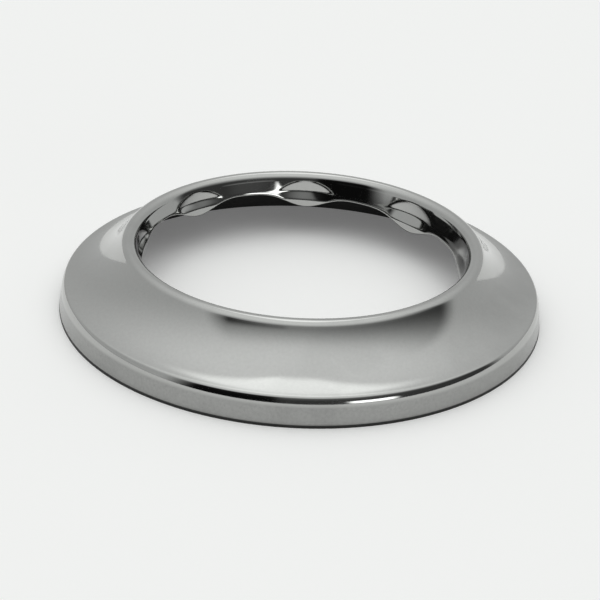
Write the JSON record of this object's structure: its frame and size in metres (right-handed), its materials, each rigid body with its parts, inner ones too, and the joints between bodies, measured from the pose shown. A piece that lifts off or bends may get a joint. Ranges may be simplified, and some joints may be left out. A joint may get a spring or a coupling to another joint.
{
  "type": "pipe rosette",
  "caption": "Round pipe rosette pressed from thin chromed sheet: upright rim, hollow flare, rolled lip and a collar whose inward bumps grip the pipe.",
  "frame": {"origin": "centre of the rim's lower edge, on the wall and on the pipe's axis", "axes": "+Z along the pipe, from the wall into the room; +X towards the side where the collar's lower edge hangs lowest"},
  "size_m": [0.08, 0.08, 0.0116],
  "materials": {
    "chrome": "polished plating"
  },
  "bodies": {
    "root": {"rosette": "chrome"}
  },
  "joints": []
}
